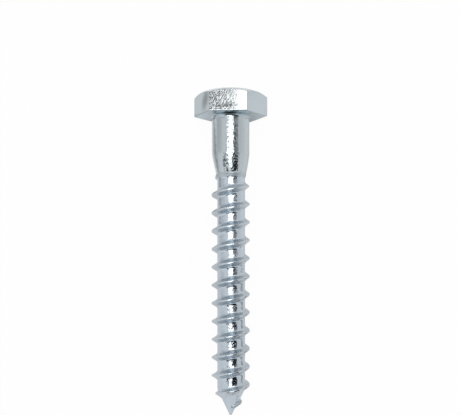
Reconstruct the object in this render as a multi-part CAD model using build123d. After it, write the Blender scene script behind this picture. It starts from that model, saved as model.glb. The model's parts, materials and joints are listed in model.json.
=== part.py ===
"""A hexagon-head coach screw, forged and rolled from one piece of steel.

It is drawn upright about Z: the bearing face under the head is at z = 0, the head lies below it, and the
tip is at z = nominal_length. It is then laid down as it rests on a level surface. One flat of the head is
down, the axis runs along +X and dips towards the tip, and the origin stays at the centre of the bearing
face. All sizes are in millimetres.
"""

import math
import os

from build123d import *

# Head
across_flats = 17.0
head_height = 6.3
crown_diameter = 14.0  # the flat circle on top of the head
chamfer_angle = 25.0  # from that circle down to the corners, in degrees
chamfer_bulge = 0.08  # how far the chamfer is crowned in its middle
corner_radius = 0.2  # the six edges between the flats
lower_edge_radius = 0.2  # round the bearing face
throat_radius = 0.7  # between the bearing face and the shank

# Shank
nominal_length = 80.0  # from the bearing face to the tip
shank_diameter = 10.0
shank_length = 9.3  # from the bearing face to where the neck curves in
neck_length = 5.7
neck_end_diameter = 8.1
land_length = 0.9  # the plain step left where rolling began
run_in_length = 1.4  # from that step down to the core

# Thread
thread_diameter = 10.2
core_diameter = 7.4
pitch = 4.82
crest_width = 0.4
flank_angle = 32.0  # each flank, from the plane square to the axis, in degrees
thread_delay = 0.3  # from the end of the neck to the first of the thread
thread_start_angle = 203.5  # about the axis, from the flat that is down, in degrees
thread_rise = 5.3  # from there to full height, along the axis
tip_thread_height = 1.0  # how far the crest stands above the cone of the point
thread_fall = 1.4  # from that height to the last of the thread, along the axis
thread_end_gap = 2.5  # from there to the tip
thread_fade_sink = 0.15  # how far under the skin the crest starts and ends
thread_root_sink = 0.3  # how far the rib reaches into the core, so that the two are one solid
points_per_turn = 12

# Tip
point_angle = 26.5  # half of the cone, in degrees
point_radius = 0.2

shank_radius = shank_diameter / 2
neck_end_radius = neck_end_diameter / 2
core_radius = core_diameter / 2
crest_radius = thread_diameter / 2
flank_slope = math.tan(math.radians(flank_angle))

neck_end = shank_length + neck_length
land_end = neck_end + land_length
core_start = land_end + run_in_length
cone_slope = math.tan(math.radians(point_angle))
cone_apex = nominal_length + point_radius * (1 / math.sin(math.radians(point_angle)) - 1)
cone_start = cone_apex - core_radius / cone_slope

thread_start = neck_end + thread_delay
thread_end = nominal_length - thread_end_gap


def ring(radius, station):
    """The point of a turned outline at that radius and that distance from the bearing face."""
    return (radius, 0, station)


def crown_outline():
    """The turned shape that cuts the top of the hexagon: a flat circle and a slightly crowned chamfer."""
    slope = math.radians(chamfer_angle)
    crown_radius = crown_diameter / 2
    corner_reach = across_flats / math.sqrt(3)
    corner_level = (corner_reach - crown_radius) * math.tan(slope) - head_height
    middle = ring(
        (crown_radius + corner_reach) / 2 + chamfer_bulge * math.sin(slope),
        (corner_level - head_height) / 2 - chamfer_bulge * math.cos(slope),
    )
    return [
        Line(ring(0, -head_height), ring(crown_radius, -head_height)),
        ThreePointArc(ring(crown_radius, -head_height), middle, ring(corner_reach, corner_level)),
        Polyline(
            ring(corner_reach, corner_level),
            ring(across_flats, corner_level),
            ring(across_flats, head_height),
            ring(0, head_height),
            ring(0, -head_height),
        ),
    ]


def head():
    """The hexagon with its rounded corners, its crown chamfer and its eased lower edge."""
    hexagon = RegularPolygon(across_flats / 2, 6, major_radius=False, rotation=30)
    blank = Pos(0, 0, -head_height) * extrude(hexagon, head_height)
    blank = fillet(blank.edges().filter_by(Axis.Z), corner_radius)
    blank = fillet(blank.faces().sort_by(Axis.Z)[-1].edges(), lower_edge_radius)
    return blank & revolve(make_face(crown_outline()), Axis.Z)


def shaft():
    """All that is turned about the axis: throat, shank, neck, land, core and point."""
    throat_start = ring(shank_radius + throat_radius, 0)
    throat_end = ring(shank_radius, throat_radius)
    neck_start = ring(shank_radius, shank_length)
    half_point = math.radians(point_angle)
    cone_end = ring(
        point_radius * math.cos(half_point),
        nominal_length - point_radius + point_radius * math.sin(half_point),
    )
    tip = ring(0, nominal_length)
    inside_head = -head_height / 2
    outline = [
        Polyline(tip, ring(0, inside_head), ring(shank_radius + throat_radius, inside_head), throat_start),
        TangentArc(throat_start, throat_end, tangent=(-1, 0, 0)),
        Line(throat_end, neck_start),
        TangentArc(neck_start, ring(neck_end_radius, neck_end), tangent=(0, 0, 1)),
        Polyline(
            ring(neck_end_radius, neck_end),
            ring(neck_end_radius, land_end),
            ring(core_radius, core_start),
            ring(core_radius, cone_start),
            cone_end,
        ),
        TangentArc(cone_end, tip, tangent=(-math.sin(half_point), 0, math.cos(half_point))),
    ]
    return revolve(make_face(outline), Axis.Z)


def core_skin(station):
    """The radius of the core or of its cone at that distance from the bearing face."""
    return min(core_radius, (cone_apex - station) * cone_slope)


def crest_height(station):
    """The radius of the crest: it rises out of the neck, runs full, follows the cone, and sinks into it."""
    height = min(crest_radius, (cone_apex - station) * cone_slope + tip_thread_height)
    rise_left = max(0, 1 - (station - thread_start) / thread_rise)
    fall_done = max(0, 1 - (thread_end - station) / thread_fall)
    height -= (crest_radius - neck_end_radius + thread_fade_sink) * rise_left**2
    height -= (tip_thread_height + thread_fade_sink) * fall_done**2
    return height


def flank_foot(station, side):
    """Radius and station of a flank's foot, thread_root_sink under the skin that it comes down to."""
    foot_radius = core_radius - thread_root_sink
    for _ in range(12):
        spread = crest_width / 2 + (crest_height(station) - foot_radius) * flank_slope
        foot_radius = core_skin(station + side * spread) - thread_root_sink
    return foot_radius, station + side * spread


def thread_angle(station):
    """The turn about the axis, in radians from the flat that is down, of a right-hand thread."""
    return math.radians(thread_start_angle) + 2 * math.pi * (station - thread_start) / pitch


def helix_span(corner, stations):
    """One corner of the rib's section, carried round the axis through those stations."""
    turn_rate = 2 * math.pi / pitch
    points = []
    tangents = []
    for station in stations:
        radius, height = corner(station)
        across = math.cos(thread_angle(station))
        along = math.sin(thread_angle(station))
        points.append((radius * across, radius * along, height))
        tangents.append((-radius * turn_rate * along, radius * turn_rate * across, 1))
    ends = [tangents[0], tangents[-1]]
    return Edge.make_spline(points, tangents=ends, parameters=stations, scale=False)


def thread():
    """One helical rib with a flat crest and two flanks, closed at both ends inside the shaft."""
    corners = [
        lambda station: flank_foot(station, -1),
        lambda station: (crest_height(station), station - crest_width / 2),
        lambda station: (crest_height(station), station + crest_width / 2),
        lambda station: flank_foot(station, 1),
    ]
    span_count = math.ceil((thread_end - thread_start) / pitch)
    step = (thread_end - thread_start) / (span_count * points_per_turn)
    faces = []
    for span in range(span_count):
        first = thread_start + span * points_per_turn * step
        stations = [first + i * step for i in range(points_per_turn + 1)]
        curves = [helix_span(corner, stations) for corner in corners]
        faces += [Face.make_surface_from_curves(curves[i - 1], curves[i]) for i in range(4)]
        for end in ([0] if span == 0 else []) + ([1] if span == span_count - 1 else []):
            faces.append(Face(Wire.make_polygon([curve.position_at(end) for curve in curves])))
    return Solid(Shell(faces))


def rest_tilt():
    """The dip of the axis, in degrees, when a flat of the head and one crest touch a level surface.

    Each crest that faces down is tried. The first to touch is the one that needs the smallest dip.
    """
    dips = []
    turn = math.ceil(thread_angle(thread_start) / (2 * math.pi))
    while turn * 2 * math.pi < thread_angle(thread_end):
        station = thread_start + (turn - math.radians(thread_start_angle) / (2 * math.pi)) * pitch
        rise = across_flats / 2 - lower_edge_radius - crest_height(station)
        run = station + crest_width / 2 + lower_edge_radius
        dips.append(math.atan2(rise, run) + math.asin(lower_edge_radius / math.hypot(rise, run)))
        turn += 1
    return math.degrees(min(dips))


def coach_screw():
    """The finished screw, laid down as it comes to rest."""
    upright = head() + shaft() + thread()
    return Rotation(0, 90 + rest_tilt(), 0) * upright


screw = coach_screw()
os.makedirs("parts", exist_ok=True)
export_step(screw, "parts/coach_screw.step")
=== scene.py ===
"""A zinc-plated coach screw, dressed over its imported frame.

The screw is one closed skin: a gimlet-pointed wood thread, a waisted neck, a plain shank
and a hexagon head. It is shaped standing on the z axis, with the bearing face at z = 0, the
head below it and the point above it, and is laid down onto the frame at the end.
All lengths are in metres.
"""
import json
import logging
import math
from dataclasses import dataclass
from enum import Enum

import bmesh
import bpy
from mathutils import Matrix, Vector

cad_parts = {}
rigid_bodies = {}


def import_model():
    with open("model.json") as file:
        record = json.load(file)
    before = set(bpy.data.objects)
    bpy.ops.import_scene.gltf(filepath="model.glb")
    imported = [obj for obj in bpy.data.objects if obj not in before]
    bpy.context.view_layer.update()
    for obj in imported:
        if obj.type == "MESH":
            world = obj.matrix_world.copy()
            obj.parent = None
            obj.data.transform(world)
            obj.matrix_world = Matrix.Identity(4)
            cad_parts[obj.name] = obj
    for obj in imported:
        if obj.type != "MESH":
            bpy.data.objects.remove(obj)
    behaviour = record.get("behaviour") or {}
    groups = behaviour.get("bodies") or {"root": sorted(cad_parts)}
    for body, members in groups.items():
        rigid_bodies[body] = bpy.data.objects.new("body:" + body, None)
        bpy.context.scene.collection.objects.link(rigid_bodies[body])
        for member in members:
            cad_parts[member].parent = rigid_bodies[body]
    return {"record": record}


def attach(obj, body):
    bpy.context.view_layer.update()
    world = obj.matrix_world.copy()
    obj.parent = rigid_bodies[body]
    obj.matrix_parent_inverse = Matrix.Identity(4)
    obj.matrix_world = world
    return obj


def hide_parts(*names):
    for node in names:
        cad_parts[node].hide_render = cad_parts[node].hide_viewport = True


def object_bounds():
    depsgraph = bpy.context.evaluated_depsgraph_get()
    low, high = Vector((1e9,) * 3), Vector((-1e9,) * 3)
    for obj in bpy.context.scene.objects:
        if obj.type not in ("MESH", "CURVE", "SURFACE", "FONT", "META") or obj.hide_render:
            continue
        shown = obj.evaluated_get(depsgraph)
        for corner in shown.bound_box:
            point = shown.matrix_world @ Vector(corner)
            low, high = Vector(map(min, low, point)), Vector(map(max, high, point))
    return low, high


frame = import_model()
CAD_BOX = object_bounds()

log = logging.getLogger("coach_screw")

MM = 0.001
COLUMNS = 120
"""Lines of points that run along the screw, twenty to each side of the head."""

Ring = list[Vector]
"""One closed row of points round the screw, one point to a column."""

Pair = tuple[float, float]
"""Two numbers that belong together, such as the least and the greatest of something."""

Colour = tuple[float, float, float, float]
Socket = bpy.types.NodeSocket
Fed = Socket | Vector | tuple[float, ...] | float
"""What an input of a node can be given: another node's output, or a constant."""

PATCHY_SWELL: Pair = (0.38, 0.62)
CLOUDY_SWELL: Pair = (0.35, 0.65)
PAINTED_FLECK_GRAIN: Pair = (0.36, 0.6)
MOTTLED_GRAIN: Pair = (0.44, 0.56)
FOLDED_CLOTH: Pair = (0.42, 0.58)
"""The spans of a noise's height over which a surface turns from one state to the other."""

PATCH_DETAIL = 3.0
CLOUD_DETAIL = 4.0
SWELL_DETAIL = 1.0
GRAIN_DETAIL = 1.5
FOLD_DETAIL = 1.0
"""How many finer layers each noise has."""


def mm(*lengths: float) -> tuple[float, ...]:
    """Turns lengths in millimetres into metres."""
    return tuple(length * MM for length in lengths)


def grey(tone: float) -> Colour:
    """An even grey."""
    return tone, tone, tone, 1.0


class Surface(Enum):
    """The worked surfaces of the screw, in the order of their material slots."""

    CROWN = 0
    FLATS = 1
    BEARING = 2
    SHANK = 3
    NECK = 4
    THREAD = 5
    FLANK = 6
    CREST = 7
    UPPER_FLAT = 8
    RUN_IN = 9


def soft_min(a: float, b: float, blend: float) -> float:
    """The lesser of two heights, with the corner between them rounded.

    Args:
        a: One height.
        b: The other height.
        blend: How near the heights come before the corner rounds.

    Returns:
        The rounded lesser height.
    """
    near = max(blend - abs(a - b), 0.0) / blend
    return min(a, b) - near * near * blend / 4


def soft_max(a: float, b: float, blend: float) -> float:
    """The greater of two heights, with the corner between them rounded, as soft_min."""
    return -soft_min(-a, -b, blend)


def column_angle(column: int) -> float:
    """The angle of a column round the screw, in radians, from the middle of the head's first side."""
    return math.radians(360.0 * (column + 0.5) / COLUMNS)


def on_column(column: int, radius: float, z: float) -> Vector:
    """The place on a column at a radius and a height."""
    angle = column_angle(column)
    return Vector((radius * math.cos(angle), radius * math.sin(angle), z))


def nearest_column(place: Vector) -> int:
    """The column that a place lies on, or nearest to."""
    return round(math.atan2(place.y, place.x) * COLUMNS / (2 * math.pi) - 0.5) % COLUMNS


def round_ring(radius: float, z: float) -> Ring:
    """A level circle of points, evenly spaced."""
    return [on_column(column, radius, z) for column in range(COLUMNS)]


def between(first: Ring, last: Ring, share: float) -> Ring:
    """The ring that lies a given share of the way from one ring to another."""
    return [a.lerp(b, share) for a, b in zip(first, last)]


def turned_corner(start: Ring, corner: Ring, end: Ring, steps: int) -> list[Ring]:
    """The rings of a rounded corner, start and end included.

    Args:
        start: Where the first surface ends.
        corner: The sharp corner that is rounded off.
        end: Where the second surface begins.
        steps: How many strips the rounding has.

    Returns:
        The rings, in order.
    """
    rings = []
    for k in range(steps + 1):
        t = k / steps
        rings.append(between(between(start, corner, t), between(corner, end, t), t))
    return rings


def deselect_all() -> None:
    """Leaves nothing selected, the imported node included."""
    for thing in bpy.context.scene.objects:
        thing.select_set(False)


def make_active(thing: bpy.types.Object) -> None:
    """Selects one object alone and makes it the active one."""
    deselect_all()
    thing.select_set(True)
    bpy.context.view_layer.objects.active = thing


def bearing_face() -> tuple[Vector, Vector]:
    """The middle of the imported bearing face, and the direction from it to the tip."""
    seat = next(mount for mount in frame["record"]["mounts"] if mount["name"] == "bearing_face")
    return Vector(seat["pos_m"]), Vector(seat["axis"])


@dataclass(frozen=True)
class NodeBoard:
    """A node tree, with the few steps that the finishes, the cards and the backdrops share.

    Args:
        tree: The tree that the steps are added to.
    """

    tree: bpy.types.NodeTree

    def add(self, kind: str) -> bpy.types.Node:
        """A new node of the given kind."""
        return self.tree.nodes.new(kind)

    def feed(self, value: Fed, target: Socket) -> None:
        """Gives an input its value: a link, if the value is an output, or else a constant."""
        if isinstance(value, Socket):
            self.tree.links.new(value, target)
        else:
            target.default_value = value

    def fill(self, node: bpy.types.Node, fed: dict[str, Fed]) -> bpy.types.Node:
        """Feeds some of a node's inputs, by their names."""
        for name, value in fed.items():
            self.feed(value, node.inputs[name])
        return node

    def shader(self, kind: str) -> bpy.types.Node:
        """A new shader of the given kind, shown on the surface."""
        shader = self.add(kind)
        self.fill(self.add("ShaderNodeOutputMaterial"), {"Surface": shader.outputs[0]})
        return shader

    def combine(self, operation: str, *values: Fed, kind: str = "ShaderNodeMath") -> Socket:
        """One number, worked out from some values in their order."""
        node = self.add(kind)
        node.operation = operation
        for value, target in zip(values, node.inputs):
            self.feed(value, target)
        return node.outputs["Value"]

    def noise(self, place: Socket, size: float, detail: float) -> Socket:
        """The height of a noise whose lumps have the given size."""
        fed = {"Vector": place, "Scale": 1.0 / size, "Detail": detail}
        return self.fill(self.add("ShaderNodeTexNoise"), fed).outputs["Fac"]

    def spread(self, value: Socket, span: Pair, result: Pair) -> Socket:
        """Spreads a value's span over another one, and keeps it inside that."""
        fed = {"Value": value, "From Min": span[0], "From Max": span[1],
               "To Min": result[0], "To Max": result[1]}
        return self.fill(self.add("ShaderNodeMapRange"), fed).outputs["Result"]

    def mixed(self, share: Socket, first: Fed, second: Fed, blend: str = "MIX",
              kind: str = "RGBA") -> Socket:
        """The first colour or number, with a share of the second mixed or multiplied in."""
        node = self.add("ShaderNodeMix")
        node.data_type = kind
        node.blend_type = blend
        return self.fill(node, {"Factor": share, "A": first, "B": second}).outputs["Result"]

    def relief(self, height: Socket, depth: float, below: Socket | None = None) -> Socket:
        """Relief of the given depth, on top of another relief if there is one."""
        fed = {"Strength": 1.0, "Distance": depth, "Height": height}
        if below is not None:
            fed["Normal"] = below
        return self.fill(self.add("ShaderNodeBump"), fed).outputs["Normal"]

    def own_white(self, seen: float, in_metal: float) -> Socket:
        """How much of a backdrop's white a ray meets: by eye or through glass, and in metal."""
        ray = self.add("ShaderNodeLightPath").outputs
        direct = self.combine("MAXIMUM", ray["Is Camera Ray"], ray["Is Transmission Ray"])
        reflected = self.combine("MULTIPLY", ray["Is Glossy Ray"], in_metal)
        return self.combine("MAXIMUM", self.combine("MULTIPLY", direct, seen), reflected)


def new_material(name: str) -> tuple[bpy.types.Material, NodeBoard]:
    """An empty material, and its node board."""
    made = bpy.data.materials.new(name)
    made.use_nodes = True
    made.node_tree.nodes.clear()
    return made, NodeBoard(made.node_tree)


@dataclass(frozen=True)
class PaintedShade:
    """A soft-edged patch of painted shade: it darkens the plating's colour and its grazing
    reflection, standing in for dark reflections and shade.

    Args:
        middle: Its middle on the lying screw.
        reach: How far it reaches each way from its middle.
        shade: How much of the plating's colour is left in it.
        turn: How far it is turned about the upright, in degrees.
        mottled: Whether it breaks up with the grain.
        whole: The share of its reach inside which it is wholly dull.
    """

    middle: tuple[float, float, float]
    reach: tuple[float, float, float]
    shade: float
    turn: float = 0.0
    mottled: bool = False
    whole: float = 0.35

    def mask(self, board: NodeBoard, place: Socket, grain: Socket) -> Socket:
        """How far each place lies inside the painted shade, from none to wholly."""
        onto = board.add("ShaderNodeMapping")
        onto.vector_type = "TEXTURE"
        turn = (0.0, 0.0, math.radians(self.turn))
        fed = {"Vector": place, "Location": self.middle, "Rotation": turn, "Scale": self.reach}
        board.fill(onto, fed)
        away = board.combine("LENGTH", onto.outputs["Vector"], kind="ShaderNodeVectorMath")
        inside = board.spread(away, (self.whole, 1.0), (1.0, 0.0))
        if not self.mottled:
            return inside
        return board.combine("MULTIPLY", inside, board.spread(grain, MOTTLED_GRAIN, (1.0, 0.0)))


@dataclass(frozen=True)
class RoughSideWithPaintedShade:
    """The rough side of a surface that is polished on its other side: real grain there, and its
    colour darkened as painted shade, with painted flecks.

    Args:
        edge: Where it turns from rough to polished, across the screw.
        shade: How much of the plating's colour the painted shade leaves on the rough side.
        fleck: How much darker and paler than that the painted flecks go, with the grain.
    """

    edge: Pair
    shade: float
    fleck: float

    def mask(self, board: NodeBoard, place: Socket) -> Socket:
        """How rough each place is, and how far it is painted with shade, from polished to rough."""
        across = board.fill(board.add("ShaderNodeSeparateXYZ"), {"Vector": place})
        return board.spread(across.outputs["Y"], self.edge, (1.0, 0.0))

    def flecks(self, board: NodeBoard, grain: Socket) -> Socket:
        """How much of the colour each painted fleck keeps, darker and paler with the grain."""
        return board.spread(grain, PAINTED_FLECK_GRAIN, (self.shade - self.fleck, self.shade + self.fleck))


@dataclass(frozen=True)
class ZincFinish:
    """Bright zinc plating on one kind of worked steel.

    Args:
        name: The finish's plain name.
        colour: The plating's colour, linear.
        dull_colour: The colour of its duller patches, linear.
        roughness: The least and the greatest roughness.
        grain: How wide and how deep the fine grain is.
        swell: How wide and how deep the soft unevenness under it is.
        rough_shaded_side: The surface's rough side, painted darker as shade, if the rest of it is
            polished.
        painted_shade: A patch of painted shade on the surface, if it has one.
        patch_spread: How many times wider than the swell the duller patches are.
        cloud_spread: How many times wider than the swell the clouds in the roughness are.
    """

    name: str
    colour: tuple[float, float, float]
    dull_colour: tuple[float, float, float]
    roughness: Pair
    grain: Pair
    swell: Pair
    rough_shaded_side: RoughSideWithPaintedShade | None = None
    painted_shade: PaintedShade | None = None
    patch_spread: float = 6.0
    cloud_spread: float = 2.5

    def material(self) -> bpy.types.Material:
        """Builds the finish's material from noise on the object's own coordinates."""
        made, board = new_material(self.name)
        metal = board.shader("ShaderNodeBsdfPrincipled")
        place = board.add("ShaderNodeTexCoord").outputs["Object"]
        grain_size, grain_depth = self.grain
        swell_size, swell_depth = self.swell
        grain = board.noise(place, grain_size, GRAIN_DETAIL)
        swell = board.relief(board.noise(place, swell_size, SWELL_DETAIL), swell_depth)

        patches = board.noise(place, self.patch_spread * swell_size, PATCH_DETAIL)
        bright = board.spread(patches, PATCHY_SWELL, (0.0, 1.0))
        shown = board.mixed(bright, (*self.dull_colour, 1.0), (*self.colour, 1.0))
        # Painted shade: the rough side's colour is darkened and flecked; only its grain is real
        # relief.
        if self.rough_shaded_side is not None:
            rough = self.rough_shaded_side.mask(board, place)
            shown = board.mixed(rough, shown, self.rough_shaded_side.flecks(board, grain), "MULTIPLY")
            grain = board.combine("MULTIPLY", grain, rough)
        # Painted shade: darkens the base colour, and through Specular Tint the grazing reflection
        # too.
        if self.painted_shade is not None:
            painted_dark, left = self.painted_shade.mask(board, place, grain), grey(self.painted_shade.shade)
            shown = board.mixed(painted_dark, shown, left, "MULTIPLY")
            board.fill(metal, {"Specular Tint": board.mixed(painted_dark, grey(1.0), left, "MULTIPLY")})

        clouds = board.noise(place, self.cloud_spread * swell_size, CLOUD_DETAIL)
        board.fill(metal, {
            "Base Color": shown,
            "Metallic": 1.0,
            "Roughness": board.spread(clouds, CLOUDY_SWELL, self.roughness),
            "Normal": board.relief(grain, grain_depth, swell),
        })
        return made


@dataclass(frozen=True)
class GimletPoint:
    """The cone of the point, its plain end and the small rounded tip."""

    length: float = 80.0 * MM
    apex: float = 80.248 * MM
    half_angle: float = 26.5
    tip_radius: float = 0.2 * MM
    levels: tuple[float, ...] = mm(78.35, 78.7, 79.05, 79.35, 79.6)
    tip_steps: int = 6

    def cone_radius(self, z: float) -> float:
        """The cone's radius at a height."""
        return (self.apex - z) * math.tan(math.radians(self.half_angle))

    def rings(self) -> list[Ring]:
        """The rings from the last of the thread to the tip, the tip's own point left out."""
        made = [round_ring(self.cone_radius(z), z) for z in self.levels]
        middle = self.length - self.tip_radius
        for step in range(self.tip_steps):
            angle = math.radians(self.half_angle + step * (90 - self.half_angle) / self.tip_steps)
            made.append(round_ring(self.tip_radius * math.cos(angle),
                                   middle + self.tip_radius * math.sin(angle)))
        return made

    def pole(self) -> Vector:
        """The very tip."""
        return Vector((0, 0, self.length))


@dataclass(frozen=True)
class WoodThread:
    """The rolled wood thread: one sharp rib wound right-handed round a slim core."""

    neck_end: float = 15.2 * MM
    neck_radius: float = 4.05 * MM
    land_end: float = 15.35 * MM
    core_start: float = 16.6 * MM
    core_radius: float = 3.7 * MM
    crest_radius: float = 5.1 * MM
    crest_width: float = 0.4 * MM
    flank_slope: float = math.tan(math.radians(32.0))
    pitch: float = 4.82 * MM
    start: float = 15.3 * MM
    start_angle: float = 203.5
    rise: float = 5.3 * MM
    end: float = 77.5 * MM
    fall: float = 1.4 * MM
    fade_sink: float = 0.15 * MM
    tip_height: float = 1.0 * MM
    point: GimletPoint = GimletPoint()
    skin_end: float = 78.0 * MM
    land_round: float = 0.06 * MM
    point_round: float = 0.25 * MM
    crest_round: float = 0.10 * MM
    root_round: float = 0.55 * MM
    rows: tuple[float, ...] = mm(
        0.0, 0.08, 0.15, 0.2, 0.27, 0.36, 0.5, 0.65, 0.8, 0.9, 1.0, 1.1, 1.2, 1.35, 1.6, 2.0)
    """How far each row of points lies from the rib's middle, on both sides of it."""
    snap: float = 0.02 * MM
    weld: float = 0.004 * MM
    run_in_margin: float = 0.2 * MM
    run_out_length: float = 1.6 * MM
    run_out_foot: float = 0.12 * MM
    flank_lean: float = 0.6
    crest_depth: float = 0.5 * MM
    """Where the run-in, the run-out, the flanks and the crest count as surfaces of their own."""

    def skin(self, z: float) -> float:
        """The core's radius at a height, from the neck's end to the point."""
        share = (z - self.land_end) / (self.core_start - self.land_end)
        run_in = self.neck_radius + (self.core_radius - self.neck_radius) * share
        radius = soft_min(self.neck_radius, run_in, self.land_round)
        radius = soft_max(radius, self.core_radius, self.land_round)
        return soft_min(radius, self.point.cone_radius(z), self.point_round)

    def crest(self, z: float) -> float:
        """The rib's own radius at a height: it swells out of the neck and dies on the point."""
        height = min(self.crest_radius, self.point.cone_radius(z) + self.tip_height)
        rising = max(0.0, 1 - (z - self.start) / self.rise) ** 2
        falling = max(0.0, 1 - (self.end - z) / self.fall) ** 2
        height -= (self.crest_radius - self.neck_radius + self.fade_sink) * rising
        return height - (self.tip_height + self.fade_sink) * falling

    def first_middle(self, angle: float) -> float:
        """The height of the rib's middle on its first turn, at an angle in degrees."""
        return self.start + self.pitch * (angle - self.start_angle) / 360.0

    def radius(self, angle: float, z: float) -> float:
        """The finished thread's radius at a place on it.

        Args:
            angle: The place's angle round the screw, in degrees.
            z: Its height.

        Returns:
            The radius there.
        """
        first = self.first_middle(angle)
        middle = first + self.pitch * round((z - first) / self.pitch)
        aside = abs(z - middle)
        flank = self.crest(middle) - (aside - self.crest_width / 2) / self.flank_slope
        rib = soft_min(self.crest(middle), flank, self.crest_round)
        return soft_max(self.skin(z), rib, self.root_round)

    def surface(self, reach: float, z: float, lean: float) -> Surface:
        """Which worked surface a face of the thread belongs to.

        Args:
            reach: How far the face lies from the screw's axis.
            z: Its height.
            lean: How far it faces along the screw.

        Returns:
            The surface.
        """
        above = reach - self.skin(z)
        running_in = above < self.run_in_margin and z < self.core_start - self.run_in_margin
        running_out = above > self.run_out_foot and z > self.end - self.run_out_length
        if running_in or running_out:
            return Surface.RUN_IN
        if abs(lean) > self.flank_lean and z < self.skin_end:
            return Surface.FLANK
        return Surface.CREST if reach > self.crest_radius - self.crest_depth else Surface.THREAD

    def build(self) -> bpy.types.Object:
        """Winds a short row of points into the whole thread and draws it out to its radius.

        Returns:
            The open threaded tube, with a level rim at each end.
        """
        deselect_all()
        bpy.ops.mesh.primitive_plane_add(size=MM, location=(0, 0, 0))
        tube = bpy.context.active_object
        tube.name = tube.data.name = "coach_screw_skin"
        first = self.first_middle(math.degrees(column_angle(0)))
        rows = (*self.rows, self.pitch / 2)
        levels = sorted({-row for row in rows} | set(rows))

        bpy.ops.object.mode_set(mode="EDIT")
        bpy.ops.mesh.select_all(action="SELECT")
        bpy.ops.mesh.merge(type="CENTER")
        bpy.ops.transform.translate(value=on_column(0, self.crest_radius, first + levels[0]))
        for low, high in zip(levels, levels[1:]):
            bpy.ops.mesh.extrude_region_move(TRANSFORM_OT_translate={"value": (0, 0, high - low)})
        bpy.ops.object.mode_set(mode="OBJECT")

        winding = tube.modifiers.new("winding", "SCREW")
        winding.axis = "Z"
        winding.angle = 2 * math.pi
        winding.screw_offset = self.pitch
        winding.iterations = math.ceil((self.skin_end - first - levels[0]) / self.pitch) + 1
        winding.steps = winding.render_steps = COLUMNS
        winding.use_merge_vertices = False
        make_active(tube)
        bpy.ops.object.modifier_apply(modifier=winding.name)

        for vertex in tube.data.vertices:
            vertex.co = self._drawn_out(vertex.co)

        bpy.ops.object.mode_set(mode="EDIT")
        bpy.ops.mesh.select_all(action="SELECT")
        bpy.ops.mesh.remove_doubles(threshold=self.weld)
        bpy.ops.mesh.select_all(action="DESELECT")
        bpy.ops.object.mode_set(mode="OBJECT")
        return tube

    def _drawn_out(self, place: Vector) -> Vector:
        """Where a point of the wound tube comes to lie on the thread, or on one of its two rims."""
        z = min(max(place.z, self.neck_end), self.skin_end)
        column = nearest_column(place)
        if z < self.neck_end + self.snap:
            return on_column(column, self.neck_radius, self.neck_end)
        if z > self.skin_end - self.snap:
            return on_column(column, self.skin(self.skin_end), self.skin_end)
        angle = math.degrees(math.atan2(place.y, place.x))
        return on_column(column, self.radius(angle, z), z)


@dataclass(frozen=True)
class PlainShank:
    """The plain shank, the neck beyond it and the small throat at the head."""

    radius: float = 5.0 * MM
    length: float = 9.3 * MM
    ease_length: float = 0.9 * MM
    ease_slope: float = 0.026
    neck_length: float = 5.7 * MM
    land_length: float = 0.2 * MM
    neck_slopes: Pair = (0.151, 0.235)
    groove: tuple[Pair, ...] = (
        mm(0.04, 0.01), mm(0.11, 0.1), mm(0.16, 0.1), mm(0.25, 0.01), mm(0.3, 0.0))
    """The fine groove at the neck's end: how far back from there each ring lies, and how deep."""
    neck_shares: tuple[float, ...] = (0.88, 0.76, 0.62, 0.48, 0.35, 0.24, 0.19, 0.15, 0.12, 0.0)
    shank_shares: tuple[float, ...] = (0.96, 0.75, 0.5, 0.25, 0.1)
    throat: float = 0.7 * MM
    throat_step: int = 10
    shank_reach: float = 0.9
    shank_foot: float = 0.6
    """The shares of the throat, outwards and upwards, inside and above which it is the shank's."""

    @property
    def taper_start(self) -> float:
        """Where the neck's taper sets in."""
        return self.length + self.ease_length

    def surface(self, reach: float, z: float) -> Surface:
        """Which worked surface a face belongs to. The throat's foot is the bearing face's."""
        inner = reach < self.radius + self.shank_reach * self.throat
        if not inner or z <= self.shank_foot * self.throat:
            return Surface.BEARING
        return Surface.NECK if z > self.taper_start else Surface.SHANK

    def neck_radius(self, z: float) -> float:
        """The neck's radius at a height: it eases, breaks, steepens and ends in a short land."""
        z = min(z, self.length + self.neck_length)
        along = min(z - self.length, self.ease_length)
        past = max(z - self.taper_start, 0.0)
        first, last = self.neck_slopes
        steepening = (last - first) / (self.neck_length - self.ease_length)
        return self.radius - self.ease_slope * along - first * past - steepening * past**2 / 2

    def rings(self) -> list[Ring]:
        """The rings from the neck's end back to the bearing face."""
        end = self.length + self.neck_length + self.land_length
        made = []
        for back, deep in self.groove:
            made.append(round_ring(self.neck_radius(end - back) - deep, end - back))
        for share in self.neck_shares:
            z = self.length + share * self.neck_length
            made.append(round_ring(self.neck_radius(z), z))
        made += [round_ring(self.radius, self.length * share) for share in self.shank_shares]
        for turn in range(0, 91, self.throat_step):
            angle = math.radians(turn)
            made.append(round_ring(self.radius + self.throat * (1 - math.cos(angle)),
                                   self.throat * (1 - math.sin(angle))))
        return made


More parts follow.
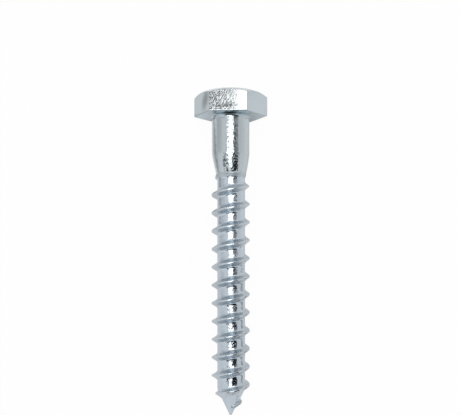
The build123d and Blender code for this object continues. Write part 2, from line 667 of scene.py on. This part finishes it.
@dataclass(frozen=True)
class HexHead:
    """The forged hexagon head: a flat bearing face, six trimmed sides and a crown."""

    across_flats: float = 17.0 * MM
    height: float = 6.3 * MM
    crown_radius: float = 7.0 * MM
    chamfer_angle: float = 25.0
    chamfer_bulge: float = 0.08 * MM
    corner_radius: float = 0.2 * MM
    lower_edge: float = 0.28 * MM
    upper_edge: float = 0.22 * MM
    crown_edge: float = 0.7 * MM
    seat_radius: float = 5.8 * MM
    edge_hold: float = 0.08 * MM
    corner_hold: float = 0.12 * MM
    least_rounding: float = 0.06 * MM
    corner_columns: int = 6
    edge_step: int = 18
    corner_steps: int = 4
    seat_shares: tuple[float, ...] = (0.3, 0.65)
    side_shares: tuple[float, ...] = (0.33, 0.67)
    chamfer_shares: tuple[float, ...] = (0.08, 0.3, 0.55, 0.8, 0.94)
    top_radii: tuple[float, ...] = mm(6.7, 5.6, 4.4, 3.2, 2.0, 0.9)
    seat_lean: float = 0.7
    crown_lean: float = -0.5
    upper_lean: float = -0.9995
    """What a face's normal has to pass to be the seat's, the crown's or the upper flat's."""

    def outline(self, inset: float, z: float) -> Ring:
        """The head's hexagon with its rounded corners, level, and moved inwards.

        Args:
            inset: How far each side lies inside the full hexagon.
            z: The ring's height.

        Returns:
            The ring. Six columns go round each corner, and the rest lie along the sides.
        """
        apothem = self.across_flats / 2 - inset
        rounding = max(self.corner_radius - inset, self.least_rounding)
        reach = (apothem - rounding) / math.cos(math.radians(30))
        side_columns = COLUMNS // 6
        half = self.corner_columns // 2
        ring: Ring = [Vector()] * COLUMNS
        for corner in range(6):
            middle = math.radians(30 + 60 * corner)
            centre = Vector((reach * math.cos(middle), reach * math.sin(middle), z))
            first = side_columns // 2 - half + side_columns * corner
            for k in range(self.corner_columns):
                turn = middle + math.radians(-30 + 60 * k / (self.corner_columns - 1))
                outwards = Vector((math.cos(turn), math.sin(turn), 0))
                ring[(first + k) % COLUMNS] = centre + rounding * outwards
        for corner in range(6):
            last = (side_columns // 2 + half - 1 + side_columns * corner) % COLUMNS
            span = side_columns - self.corner_columns
            start, end = ring[last], ring[(last + span + 1) % COLUMNS]
            hold = self.corner_hold / (end - start).length
            for k in range(span):
                share = hold + (1 - 2 * hold) * k / (span - 1)
                ring[(last + 1 + k) % COLUMNS] = start.lerp(end, share)
        return ring

    def crown_height(self, radius: float) -> float:
        """How high the crowned chamfer lies at a radius: a shallow arch down from the top face."""
        corner = self.across_flats / 2 / math.cos(math.radians(30))
        share = (radius - self.crown_radius) / (corner - self.crown_radius)
        fall = (radius - self.crown_radius) * math.tan(math.radians(self.chamfer_angle))
        bulge = self.chamfer_bulge / math.cos(math.radians(self.chamfer_angle))
        return -self.height + fall - 4 * bulge * share * (1 - share)

    def on_crown(self, ring: Ring) -> Ring:
        """The same ring, lifted or lowered onto the chamfer."""
        return [Vector((*place.xy, self.crown_height(place.xy.length))) for place in ring]

    def rings(self) -> list[Ring]:
        """The rings from the bearing face round the head to its top, the middle left out."""
        seat = round_ring(self.seat_radius, 0)
        rim = self.outline(self.lower_edge + self.edge_hold, 0)
        made = [seat, *(between(seat, rim, share) for share in self.seat_shares), rim]
        for turn in range(0, 91, self.edge_step):
            angle = math.radians(turn)
            made.append(self.outline(self.lower_edge * (1 - math.sin(angle)),
                                     -self.lower_edge * (1 - math.cos(angle))))
        side = self.outline(0, 0)
        brow = self.on_crown(side)
        off = self.upper_edge * math.tan(math.radians((90 - self.chamfer_angle) / 2))
        side_top = [place + Vector((0, 0, off)) for place in brow]
        foot = self.outline(0, -self.lower_edge - self.edge_hold)
        head = [place + Vector((0, 0, self.edge_hold)) for place in side_top]
        made += [foot, *(between(foot, head, share) for share in self.side_shares), head]
        inner = self.on_crown(self.outline(off * math.cos(math.radians(self.chamfer_angle)), 0))
        made += turned_corner(side_top, brow, inner, self.corner_steps)

        edge = self.crown_edge * math.tan(math.radians(self.chamfer_angle / 2))
        crown = self.on_crown(round_ring(self.crown_radius + edge, 0))
        for share in self.chamfer_shares:
            made.append(self.on_crown(between(inner, crown, share)))
        lip = round_ring(self.crown_radius, -self.height)
        plain = round_ring(self.crown_radius - edge, -self.height)
        made += turned_corner(crown, lip, plain, self.corner_steps)
        made += [round_ring(radius, -self.height) for radius in self.top_radii]
        return made

    def pole(self) -> Vector:
        """The middle of the top face."""
        return Vector((0, 0, -self.height))

    def surface(self, normal: Vector) -> Surface:
        """Which worked surface a face of the head belongs to, by the way that it faces."""
        if normal.z > self.seat_lean:
            return Surface.BEARING
        if normal.z < self.crown_lean:
            return Surface.CROWN
        return Surface.UPPER_FLAT if normal.x < self.upper_lean else Surface.FLATS


@dataclass(frozen=True)
class CoachScrew:
    """The whole screw: its parts in order, and how far its core is thrown off the middle."""

    thread: WoodThread = WoodThread()
    shank: PlainShank = PlainShank()
    head: HexHead = HexHead()
    throw: float = 0.15 * MM
    throw_angle: float = 85.3
    least_rib: float = 0.1 * MM
    rim_margin: float = 0.001 * MM
    first_step: float = 0.1 * MM
    weld: float = 0.002 * MM

    def build(self) -> bpy.types.Object:
        """Builds the screw's skin, closes it, dresses it and lays it on the frame.

        Returns:
            The finished object.
        """
        point = self.thread.point
        skin = self.thread.build()
        make_active(skin)
        self._draw_out(skin, self.thread.skin_end, [*point.rings(), [point.pole()] * COLUMNS])
        above = [*self.shank.rings(), *self.head.rings(), [self.head.pole()] * COLUMNS]
        self._draw_out(skin, self.thread.neck_end, above)
        self._throw_core(skin)
        self._close(skin)
        self._dress(skin)
        self._lay_down(skin)
        return skin

    def _draw_out(self, skin: bpy.types.Object, level: float, rings: list[Ring]) -> None:
        """Extrudes the rim at one level through a row of rings and closes it at the last one.

        Args:
            skin: The open tube.
            level: The height of the rim that is drawn out.
            rings: Where each extruded rim comes to lie. The last one is a single place.
        """
        bpy.ops.object.mode_set(mode="EDIT")
        bpy.ops.mesh.select_mode(type="EDGE")
        bpy.ops.mesh.select_all(action="DESELECT")
        mesh = bmesh.from_edit_mesh(skin.data)
        columns = mesh.verts.layers.int.get("column") or mesh.verts.layers.int.new("column")
        for edge in mesh.edges:
            at_level = all(abs(vertex.co.z - level) < self.rim_margin for vertex in edge.verts)
            if edge.is_boundary and at_level:
                edge.select_set(True)
                for vertex in edge.verts:
                    vertex[columns] = nearest_column(vertex.co)
        bmesh.update_edit_mesh(skin.data)
        for ring in rings:
            bpy.ops.mesh.extrude_edges_move(TRANSFORM_OT_translate={"value": (0, 0, self.first_step)})
            self._place_rim(skin, ring)
        bpy.ops.mesh.merge(type="CENTER")
        bpy.ops.object.mode_set(mode="OBJECT")

    @staticmethod
    def _place_rim(skin: bpy.types.Object, ring: Ring) -> None:
        """Moves each selected point to its own column's place on a ring."""
        mesh = bmesh.from_edit_mesh(skin.data)
        columns = mesh.verts.layers.int["column"]
        for vertex in mesh.verts:
            if vertex.select:
                vertex.co = ring[vertex[columns]]
        bmesh.update_edit_mesh(skin.data)

    def _throw_core(self, skin: bpy.types.Object) -> None:
        """Moves the neck and the core a little off the middle, and leaves the crest in place."""
        angle = math.radians(self.throw_angle)
        aside = Vector((math.cos(angle), math.sin(angle), 0))
        start, full = self.shank.length, self.thread.neck_end
        last, end = self.thread.end - self.thread.pitch, self.thread.point.length
        for vertex in skin.data.vertices:
            z = vertex.co.z
            rising = min(max((z - start) / (full - start), 0.0), 1.0)
            falling = min(max((end - z) / (end - last), 0.0), 1.0)
            share = rising * falling
            if z > full:
                core = self.thread.skin(min(z, end))
                rib = max(self.thread.crest_radius - core, self.least_rib)
                share *= min(max(1 - (vertex.co.xy.length - core) / rib, 0.0), 1.0)
            vertex.co += aside * self.throw * share

    def _close(self, skin: bpy.types.Object) -> None:
        """Merges what lies together, turns every face outwards and smooths the shading."""
        bpy.ops.object.mode_set(mode="EDIT")
        bpy.ops.mesh.select_mode(type="VERT")
        bpy.ops.mesh.select_all(action="SELECT")
        bpy.ops.mesh.remove_doubles(threshold=self.weld)
        bpy.ops.mesh.normals_make_consistent(inside=False)
        bpy.ops.mesh.select_all(action="DESELECT")
        bpy.ops.object.mode_set(mode="OBJECT")
        skin.data.attributes.remove(skin.data.attributes["column"])
        bpy.ops.object.shade_smooth()

    def _dress(self, skin: bpy.types.Object) -> None:
        """Gives each worked surface its own finish."""
        for surface in Surface:
            skin.data.materials.append(FINISHES[surface].material())
        for face in skin.data.polygons:
            face.material_index = self._surface(face.center, face.normal).value

    def _surface(self, centre: Vector, normal: Vector) -> Surface:
        """Which worked surface a face belongs to, while the screw stands on the z axis."""
        reach = centre.xy.length
        if centre.z > self.thread.neck_end:
            return self.thread.surface(reach, centre.z, normal.z)
        if centre.z > 0 and reach < self.shank.radius + self.shank.throat:
            return self.shank.surface(reach, centre.z)
        return self.head.surface(normal)

    @staticmethod
    def _lay_down(skin: bpy.types.Object) -> None:
        """Turns the standing screw down onto the frame, about the bearing face."""
        middle, along = bearing_face()
        skin.rotation_euler = (0, math.atan2(along.x, along.z), 0)
        skin.location = middle
        make_active(skin)
        bpy.ops.object.transform_apply(location=True, rotation=True, scale=True)


FINISHES: dict[Surface, ZincFinish] = {
    # The crown's plating is painted paler than the other surfaces', as painted light on the head's
    # end.
    Surface.CROWN: ZincFinish(
        "zinc_on_forged_crown", (0.71, 0.75, 0.785), (0.6, 0.65, 0.685), roughness=(0.2, 0.3),
        grain=mm(0.5, 0.09), swell=mm(1.6, 0.03)),
    # The trimmed sides: a diagonal streak of painted shade lies on the head's left side, towards the
    # crown.
    Surface.FLATS: ZincFinish(
        "zinc_on_trimmed_flats", (0.545, 0.61, 0.645), (0.53, 0.59, 0.63), roughness=(0.15, 0.21),
        grain=mm(0.45, 0.02), swell=mm(2.2, 0.005),
        painted_shade=PaintedShade(mm(-3.4, -5.7, 5.6), reach=mm(3.9, 1.7, 4.5), shade=0.64, turn=-18.0)),
    # The upward flat: its rough side is painted darker, with painted flecks, and a band of painted
    # shade runs across it near the bearing face.
    Surface.UPPER_FLAT: ZincFinish(
        "zinc_on_grained_flat", (0.60, 0.635, 0.65), (0.59, 0.625, 0.64), roughness=(0.13, 0.18),
        grain=mm(0.42, 0.028), swell=mm(2.2, 0.005),
        rough_shaded_side=RoughSideWithPaintedShade(mm(0.95, 3.3), shade=0.58, fleck=0.26),
        painted_shade=PaintedShade(mm(-0.95, -0.6, 8.5), reach=mm(0.6, 5.2, 3.0), shade=0.6)),
    # The bearing face: its colour is painted darker as shade under the head, and a patch of painted
    # shade in front of the shank stands in for the dark reflection between the face and the shank.
    Surface.BEARING: ZincFinish(
        "zinc_on_bearing_face", (0.41, 0.50, 0.55), (0.385, 0.475, 0.525), roughness=(0.1, 0.16),
        grain=mm(0.5, 0.02), swell=mm(2.0, 0.01),
        painted_shade=PaintedShade(mm(0.0, 0.15, 5.3), reach=mm(1.3, 2.4, 1.9), shade=0.2)),
    # The shank: a mottled stripe of painted shade runs along it beside the highlight, a painted dark
    # reflection.
    Surface.SHANK: ZincFinish(
        "zinc_on_plain_shank", (0.54, 0.60, 0.635), (0.52, 0.58, 0.61), roughness=(0.06, 0.11),
        grain=mm(0.55, 0.042), swell=mm(2.0, 0.012),
        painted_shade=PaintedShade(mm(4.0, 1.35, 4.8), reach=mm(30, 1.0, 3.0), shade=0.4, mottled=True)),
    # The neck: a mottled patch of painted shade on one side stands in for a dark reflection there.
    Surface.NECK: ZincFinish(
        "zinc_on_rolled_neck", (0.54, 0.60, 0.635), (0.52, 0.58, 0.61), roughness=(0.07, 0.12),
        grain=mm(0.55, 0.09), swell=mm(2.0, 0.01),
        painted_shade=PaintedShade(mm(12.8, -1.25, 4.2), reach=mm(3.1, 0.7, 3.0), shade=0.2, mottled=True)),
    Surface.THREAD: ZincFinish(
        "zinc_on_rolled_thread", (0.57, 0.64, 0.705), (0.55, 0.615, 0.68), roughness=(0.07, 0.12),
        grain=mm(0.6, 0.09), swell=mm(1.6, 0.03)),
    Surface.FLANK: ZincFinish(
        "zinc_on_thread_flanks", (0.565, 0.625, 0.67), (0.545, 0.60, 0.645), roughness=(0.22, 0.32),
        grain=mm(0.5, 0.05), swell=mm(1.6, 0.01)),
    Surface.RUN_IN: ZincFinish(
        "zinc_on_thread_run_in", (0.50, 0.56, 0.60), (0.48, 0.535, 0.575), roughness=(0.42, 0.5),
        grain=mm(0.5, 0.08), swell=mm(1.6, 0.01)),
    Surface.CREST: ZincFinish(
        "zinc_on_thread_crest", (0.565, 0.63, 0.68), (0.545, 0.605, 0.655), roughness=(0.15, 0.22),
        grain=mm(0.5, 0.07), swell=mm(1.6, 0.01)),
}


@dataclass(frozen=True)
class ProductCamera:
    """The camera that looks down on the lying screw, square to it."""

    aim: float = 37.8 * MM
    distance: float = 198.0 * MM
    side_turn: float = 4.7
    lens: float = 57.8
    shift: float = 0.1099
    side_shift: float = -0.0003

    def axes(self) -> tuple[Vector, Vector, Vector]:
        """The camera's right, up and backward directions."""
        along = bearing_face()[1].normalized()
        up_side = along.cross(Vector((0, -1, 0))).normalized()
        if up_side.z < 0:
            up_side.negate()
        turn = Matrix.Rotation(math.radians(self.side_turn), 3, along)
        back = turn @ up_side
        if back.y < 0:
            back = turn.inverted() @ up_side
        up = -along
        return up.cross(back), up, back

    def toward(self, turn: float, rise: float) -> Vector:
        """The direction some degrees to the camera's right, and some towards the head."""
        right, up, back = self.axes()
        turn, rise = math.radians(turn), math.radians(rise)
        level = right * math.sin(turn) + back * math.cos(turn)
        return level * math.cos(rise) + up * math.sin(rise)

    def build(self) -> bpy.types.Object:
        """Puts the camera in the scene."""
        right, up, back = self.axes()
        bpy.ops.object.camera_add(location=back * self.distance - up * self.aim)
        camera = bpy.context.active_object
        camera.name = "product_camera"
        camera.rotation_euler = Matrix((right, up, back)).transposed().to_euler()
        camera.data.lens = self.lens
        camera.data.sensor_width = 36.0
        camera.data.shift_x = self.side_shift
        camera.data.shift_y = self.shift
        camera.data.clip_start = 0.005
        camera.data.clip_end = 50.0
        bpy.context.scene.camera = camera
        return camera


FOLD_SIZE = 25.0 * MM


def folded_cloth(board: NodeBoard, tones: Pair) -> Socket:
    """The uneven tone of dark cloth, hung in folds across the screw."""
    place = board.add("ShaderNodeTexCoord").outputs["Object"]
    return board.spread(board.noise(place, FOLD_SIZE, FOLD_DETAIL), FOLDED_CLOTH, tones)


def paper_card(name: str, middle: Vector, facing: Matrix, size: Pair, tone: float,
               fold_tone: float | None = None) -> None:
    """Puts a matt card in the scene that only the metal sees.

    Args:
        name: The card's name.
        middle: Its middle.
        facing: Its facing.
        size: Its width and height.
        tone: How pale it is.
        fold_tone: How pale its darker folds are, if it is of cloth.
    """
    deselect_all()
    bpy.ops.mesh.primitive_plane_add(size=1, location=middle, rotation=facing.to_euler())
    card = bpy.context.active_object
    card.name = name
    card.scale = (*size, 1)
    bpy.ops.object.transform_apply(location=True, rotation=True, scale=True)
    made, board = new_material(name)
    shown = grey(tone) if fold_tone is None else folded_cloth(board, (fold_tone, tone))
    paper = board.shader("ShaderNodeBsdfPrincipled")
    board.fill(paper, {"Base Color": shown, "Roughness": 1.0, "Specular IOR Level": 0.0})
    card.data.materials.append(made)
    card.visible_camera = False
    card.visible_diffuse = False
    card.visible_shadow = False


@dataclass(frozen=True)
class PaintedFloorShade:
    """A sheet on the floor beside the screw, which only the metal sees: it paints the floor that the
    metal mirrors with its own tone, as painted shade where it is darker than the floor and as painted
    light where it is paler.

    Args:
        name: The sheet's name.
        along: Where it starts and ends along the screw.
        across: Where it starts and ends across it.
        tone: How pale it is.
        lift: How far it lies above the floor.
    """

    name: str
    along: Pair
    across: Pair
    tone: float
    lift: float = 0.02 * MM

    def build(self) -> None:
        """Lays the sheet on the floor."""
        middle = Vector((sum(self.along) / 2, sum(self.across) / 2, CAD_BOX[0].z + self.lift))
        size = (self.along[1] - self.along[0], self.across[1] - self.across[0])
        paper_card(self.name, middle, Matrix.Identity(3), size, self.tone)


@dataclass(frozen=True)
class Panel:
    """A flat lamp or card beside the camera, by the angles that it fills.

    Args:
        name: The panel's name.
        turn: The degrees it fills from side to side, to the camera's right.
        rise: The degrees it fills up and down, towards the head.
        tone: A lamp's brightness, or how pale a card is.
        distance: How far it stands from the bearing face.
        fold_tone: How pale the darker folds of a cloth card are, if it is one.
    """

    name: str
    turn: Pair
    rise: Pair
    tone: float
    distance: float = 0.6
    fold_tone: float | None = None

    def place(self, camera: ProductCamera) -> tuple[Vector, Matrix, Pair]:
        """Where the panel stands.

        Args:
            camera: The camera that it stands beside.

        Returns:
            Its middle, its facing, and its width and height.
        """
        facing = camera.toward(sum(self.turn) / 2, sum(self.rise) / 2).normalized()
        side = camera.axes()[1].cross(facing).normalized()
        width, height = (
            2 * self.distance * math.tan(math.radians((last - first) / 2))
            for first, last in (self.turn, self.rise)
        )
        width *= math.cos(math.radians(sum(self.rise) / 2))
        turned = Matrix((side, facing.cross(side), facing)).transposed()
        return facing * self.distance, turned, (width, height)

    def lamp(self, camera: ProductCamera) -> None:
        """Puts the panel in the scene as a soft lamp, which the camera doesn't see."""
        middle, facing, (width, height) = self.place(camera)
        bpy.ops.object.light_add(type="AREA", location=middle)
        lamp = bpy.context.active_object
        lamp.name = self.name
        lamp.rotation_euler = facing.to_euler()
        lamp.data.shape = "RECTANGLE"
        lamp.data.size = width
        lamp.data.size_y = height
        lamp.data.energy = self.tone * math.pi * width * height
        lamp.visible_camera = False

    def card(self, camera: ProductCamera) -> None:
        """Puts the panel in the scene as a matt card, which only the metal sees."""
        paper_card(self.name, *self.place(camera), self.tone, self.fold_tone)


@dataclass(frozen=True)
class Wall:
    """A broad soft part of the room that is paler or darker than the rest.

    Args:
        turn: Where it lies, in degrees to the camera's right.
        rise: Where it lies, in degrees towards the head.
        change: How much it adds to the room's level.
        focus: How tightly it gathers: the greater, the narrower.
    """

    turn: float
    rise: float
    change: float
    focus: float

    def added(self, board: NodeBoard, level: Fed, looking: Socket, camera: ProductCamera) -> Socket:
        """The room's level in the direction that is looked in, with this part's change added."""
        facing = camera.toward(self.turn, self.rise)
        toward = board.combine("DOT_PRODUCT", looking, facing, kind="ShaderNodeVectorMath")
        gathered = board.combine("POWER", board.combine("MAXIMUM", toward, 0.0), self.focus)
        return board.combine("MULTIPLY_ADD", gathered, self.change, level)


@dataclass(frozen=True)
class Studio:
    """A pale floor in a pale room, with soft lamps over the camera and dark cards beside them, and
    sheets on the floor that paint shade and light into what the metal mirrors.
    """

    room_level: float = 0.83
    room_white_in_metal: float = 0.15
    walls: tuple[Wall, ...] = (
        Wall(-88.0, 18.0, -0.3, 12.0),
        Wall(108.0, 0.0, 0.118, 14.0),
        Wall(62.0, 8.0, -0.141, 14.0),
        Wall(-66.0, 12.0, -0.129, 30.0),
        Wall(-60.0, -30.0, 0.094, 6.0),
    )
    floor_size: float = 6.0
    floor_tone: float = 0.8
    floor_glow: float = 0.96
    floor_glow_in_metal: float = 0.15
    lamps: tuple[Panel, ...] = (
        Panel("upper_lamp", (-22.3, 16.0), (-0.6, 8.6), 2.05),
        Panel("head_lamp", (-8.6, 18.0), (8.6, 19.0), 2.2),
        Panel("lower_lamp", (-17.0, 11.0), (-10.5, -0.6), 2.05),
        Panel("neck_lamp", (-15.0, 6.0), (-26.0, -10.5), 0.8),
    )
    cards: tuple[Panel, ...] = (
        Panel("right_band_card", (16.5, 47.5), (3.0, 26.0), 0.85, fold_tone=0.2),
        Panel("right_middle_card", (16.5, 50.0), (-9.0, 3.0), 0.85, fold_tone=0.03),
        Panel("right_lower_card", (6.0, 48.0), (-34.0, -9.0), 0.01),
        Panel("left_lower_card", (-37.0, -20.0), (-50.0, -17.0), 0.01),
        Panel("left_edge_card", (-27.0, -24.0), (-2.0, 10.0), 0.78),
        Panel("top_card", (-14.5, -9.3), (10.4, 30.0), 0.02),
        Panel("lower_card", (-37.0, 36.0), (-54.0, -26.5), 0.005),
    )
    # Sheets that only the metal sees: painted shade where darker than the floor, painted light where
    # paler.
    floor_cards: tuple[PaintedFloorShade, ...] = (
        PaintedFloorShade("left_floor_card", mm(-4.0, 30.0), mm(-30.0, -17.0), 0.61),
        PaintedFloorShade("far_left_floor_card", mm(-4.0, 30.0), mm(-220.0, -30.0), 0.43),
        PaintedFloorShade("near_left_floor_card", mm(-4.0, 16.0), mm(-17.0, -6.0), 0.96),
        PaintedFloorShade("head_floor_card", mm(-80.0, -8.0), mm(-13.0, 24.0), 0.96),
        PaintedFloorShade("right_floor_card", mm(-12.0, 40.0), mm(12.0, 45.0), 0.9),
        PaintedFloorShade("seam_floor_card", mm(41.0, 115.0), mm(20.0, 90.0), 0.4),
    )

    def build(self, camera: ProductCamera) -> None:
        """Builds the room, the floor, and the lamps and cards beside the camera."""
        self._room(camera)
        self._floor()
        for panel in self.lamps:
            panel.lamp(camera)
        for panel in self.cards:
            panel.card(camera)
        for card in self.floor_cards:
            card.build()

    def _room(self, camera: ProductCamera) -> None:
        """A pale room whose walls differ a little, and which is white to the eye."""
        world = bpy.data.worlds.new("pale_room")
        world.use_nodes = True
        board = NodeBoard(world.node_tree)
        looking = board.add("ShaderNodeTexCoord").outputs["Generated"]
        level: Fed = self.room_level
        for wall in self.walls:
            level = wall.added(board, level, looking, camera)
        share = board.own_white(1.0, self.room_white_in_metal)
        strength = board.mixed(share, level, 1.0, kind="FLOAT")
        board.fill(world.node_tree.nodes["Background"], {"Color": grey(1.0), "Strength": strength})
        bpy.context.scene.world = world

    def _floor(self) -> None:
        """A white floor at the screw's lowest point."""
        deselect_all()
        bpy.ops.mesh.primitive_plane_add(size=self.floor_size, location=(0, 0, CAD_BOX[0].z))
        floor = bpy.context.active_object
        floor.name = "pale_floor"
        bpy.ops.object.transform_apply(location=True, rotation=True, scale=True)
        made, board = new_material("pale_floor")
        both = board.shader("ShaderNodeMixShader")
        matt = board.fill(board.add("ShaderNodeBsdfDiffuse"), {"Color": grey(self.floor_tone)})
        glow = board.fill(board.add("ShaderNodeEmission"), {"Strength": 1.0})
        share = board.own_white(self.floor_glow, self.floor_glow_in_metal)
        for fed, target in zip((share, matt.outputs["BSDF"], glow.outputs["Emission"]), both.inputs):
            board.feed(fed, target)
        floor.data.materials.append(made)


def main() -> None:
    """Builds the screw, the camera and the studio."""
    logging.basicConfig(level=logging.INFO, format="%(name)s: %(message)s")
    scene = bpy.context.scene
    scene.view_settings.view_transform = "Standard"

    screw = CoachScrew().build()
    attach(screw, "root")
    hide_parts("coach_screw")
    triangles = sum(len(face.vertices) - 2 for face in screw.data.polygons)
    log.info("%s: %d points, %d triangles", screw.name, len(screw.data.vertices), triangles)

    camera = ProductCamera()
    log.info("camera: %s", camera.build().name)
    Studio().build(camera)
    log.info("studio: floor, lamps and cards")


if __name__ == "__main__":
    main()
